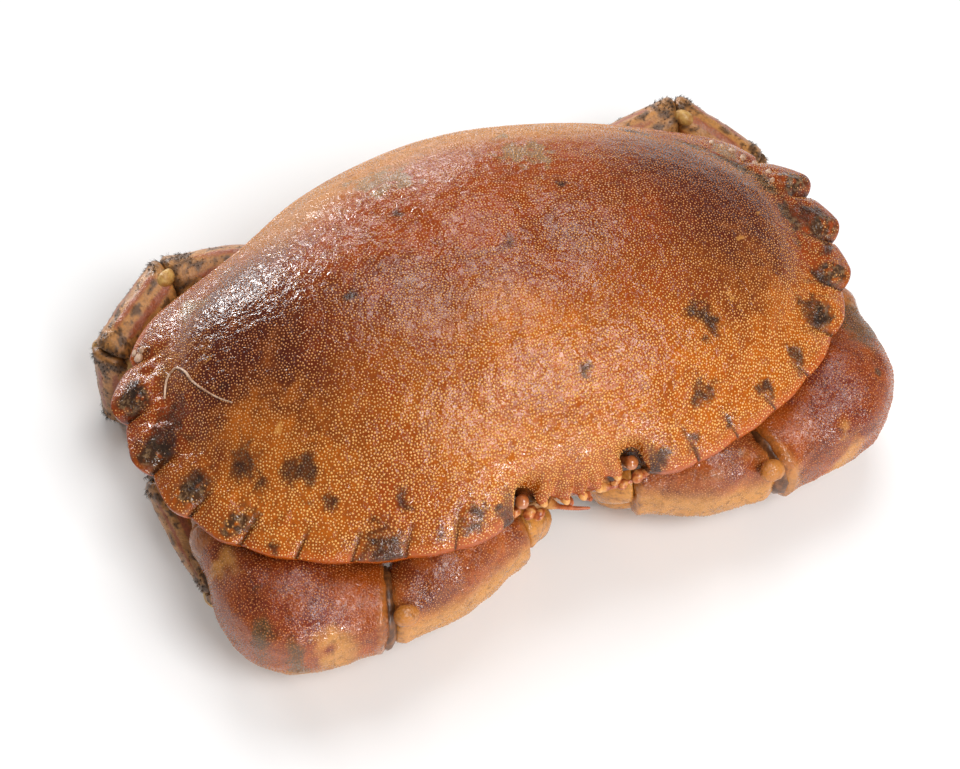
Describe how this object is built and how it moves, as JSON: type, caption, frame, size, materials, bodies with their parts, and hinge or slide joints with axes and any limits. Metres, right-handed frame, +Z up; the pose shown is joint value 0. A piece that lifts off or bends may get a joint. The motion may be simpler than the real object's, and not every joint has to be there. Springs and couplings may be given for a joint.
{
  "type": "cooked brown crab",
  "caption": "Whole cooked brown crab, life size, with its claws folded in front of the mouth and its walking legs tucked under a broad oval shell.",
  "frame": {"origin": "middle of the model's footprint, on the floor under it", "axes": "+X to the crab's left and along its width, +Y to its back, +Z up"},
  "size_m": [0.167, 0.1042, 0.0607],
  "materials": {
    "shell": "cooked shell, orange brown with cream granules, damp gloss",
    "belly": "pale cream underside shell, satin",
    "claw": "reddish brown claw shell, fine stipple, black finger tips",
    "leg": "tan and red brown leg shell with dark bristle tufts",
    "eye": "cooked eye, tan and brown, glossy"
  },
  "bodies": {
    "root": {"abdomen": "belly", "antenna_left": "shell", "antenna_right": "shell", "antennule_left": "shell", "antennule_right": "shell", "carapace": "shell", "claw_carpus_left": "claw", "claw_carpus_right": "claw", "claw_dactylus_left": "claw", "claw_dactylus_right": "claw", "claw_merus_left": "claw", "claw_merus_right": "claw", "claw_propodus_left": "claw", "claw_propodus_right": "claw", "eye_left": "eye", "eye_right": "eye", "leg_1_carpus_left": "leg", "leg_1_carpus_right": "leg", "leg_1_dactylus_left": "leg", "leg_1_dactylus_right": "leg", "leg_1_merus_left": "leg", "leg_1_merus_right": "leg", "leg_1_propodus_left": "leg", "leg_1_propodus_right": "leg", "leg_2_carpus_left": "leg", "leg_2_carpus_right": "leg", "leg_2_dactylus_left": "leg", "leg_2_dactylus_right": "leg", "leg_2_merus_left": "leg", "leg_2_merus_right": "leg", "leg_2_propodus_left": "leg", "leg_2_propodus_right": "leg", "leg_3_carpus_left": "leg", "leg_3_carpus_right": "leg", "leg_3_dactylus_left": "leg", "leg_3_dactylus_right": "leg", "leg_3_merus_left": "leg", "leg_3_merus_right": "leg", "leg_3_propodus_left": "leg", "leg_3_propodus_right": "leg", "leg_4_carpus_left": "leg", "leg_4_carpus_right": "leg", "leg_4_dactylus_left": "leg", "leg_4_dactylus_right": "leg", "leg_4_merus_left": "leg", "leg_4_merus_right": "leg", "leg_4_propodus_left": "leg", "leg_4_propodus_right": "leg", "maxilliped_left": "belly", "maxilliped_right": "belly", "thorax": "belly"}
  },
  "joints": []
}
